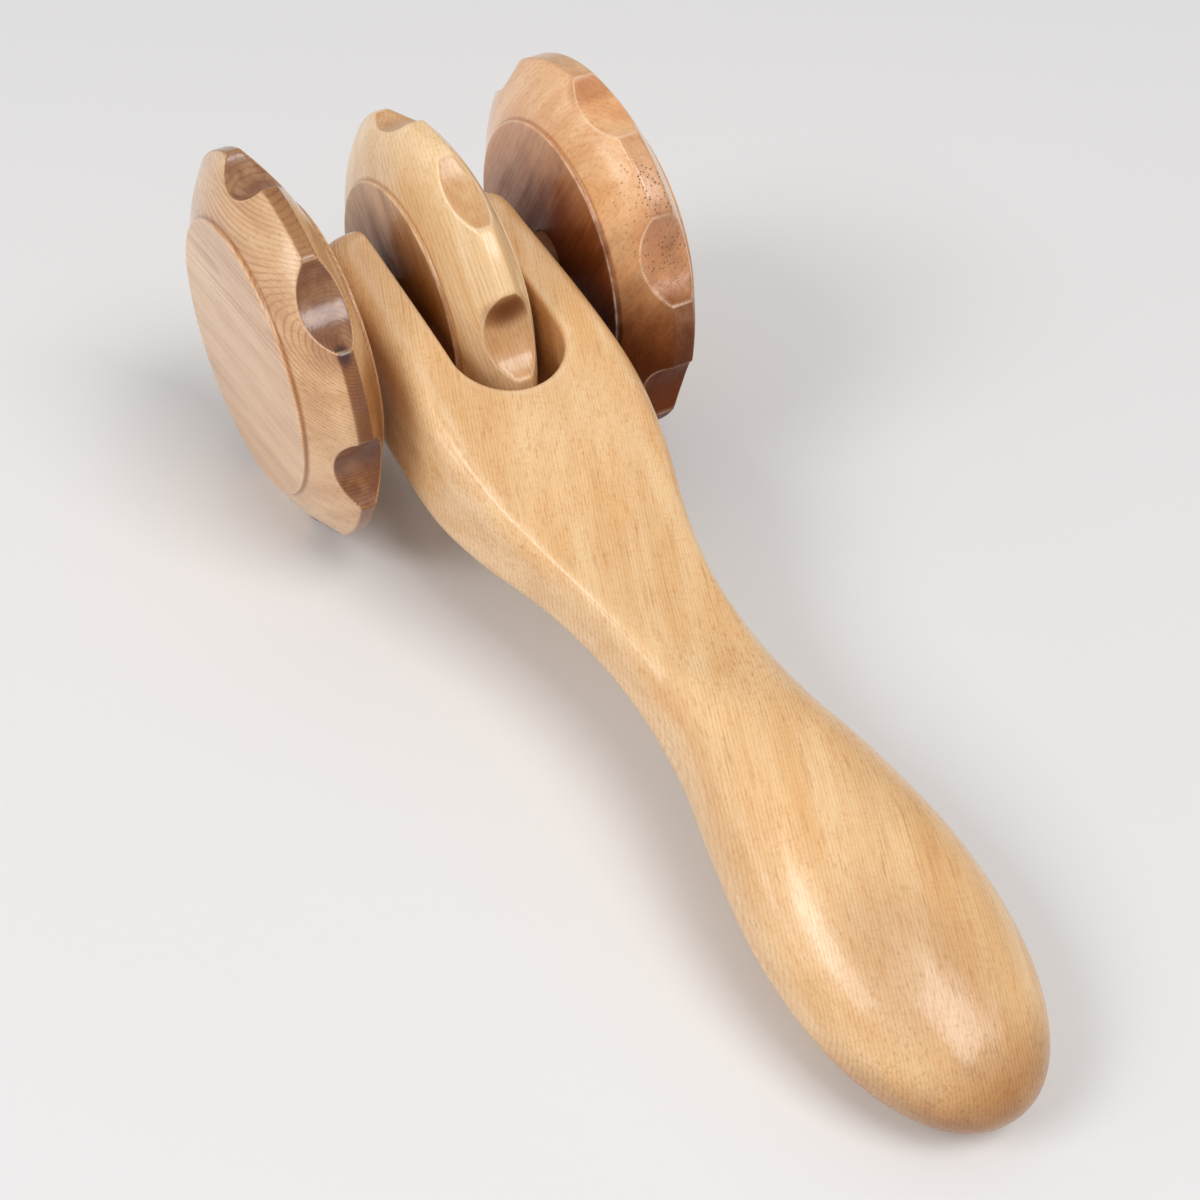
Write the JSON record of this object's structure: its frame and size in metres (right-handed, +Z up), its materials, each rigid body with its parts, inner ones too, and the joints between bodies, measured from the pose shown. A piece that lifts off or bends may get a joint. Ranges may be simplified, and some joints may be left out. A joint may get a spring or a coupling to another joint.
{
  "type": "wooden three-wheel hand roller",
  "caption": "Wooden hand roller: a carved fork handle with notched wheels that turn on a dowel axle, lying on its wheels and the butt of its handle.",
  "frame": {"origin": "on the table, under the middle of the whole object's box", "axes": "+X towards the wheels, +Y along the axle towards the left wheel, +Z up; the handle runs towards -X and its butt touches the table"},
  "size_m": [0.2518, 0.0922, 0.0844],
  "materials": {
    "handle_wood": "satin lacquer",
    "dowel_wood": "bare",
    "left_wheel_wood": "satin lacquer",
    "centre_wheel_wood": "satin lacquer",
    "right_wheel_wood": "satin lacquer"
  },
  "bodies": {
    "handle": {"handle": "handle_wood"},
    "outer_wheel_set": {"axle": "dowel_wood", "left_wheel": "left_wheel_wood", "right_wheel": "right_wheel_wood"},
    "centre_wheel": {"centre_wheel": "centre_wheel_wood"}
  },
  "joints": [
    {"name": "outer_wheels_spin", "type": "hinge", "parent": "handle", "child": "outer_wheel_set", "pos_m": [0.08373, 0.00205, 0.0422], "axis": [0, 1, 0], "continuous": true},
    {"name": "centre_wheel_spin", "type": "hinge", "parent": "handle", "child": "centre_wheel", "pos_m": [0.08373, 0.00055, 0.0422], "axis": [0, 1, 0], "continuous": true}
  ]
}
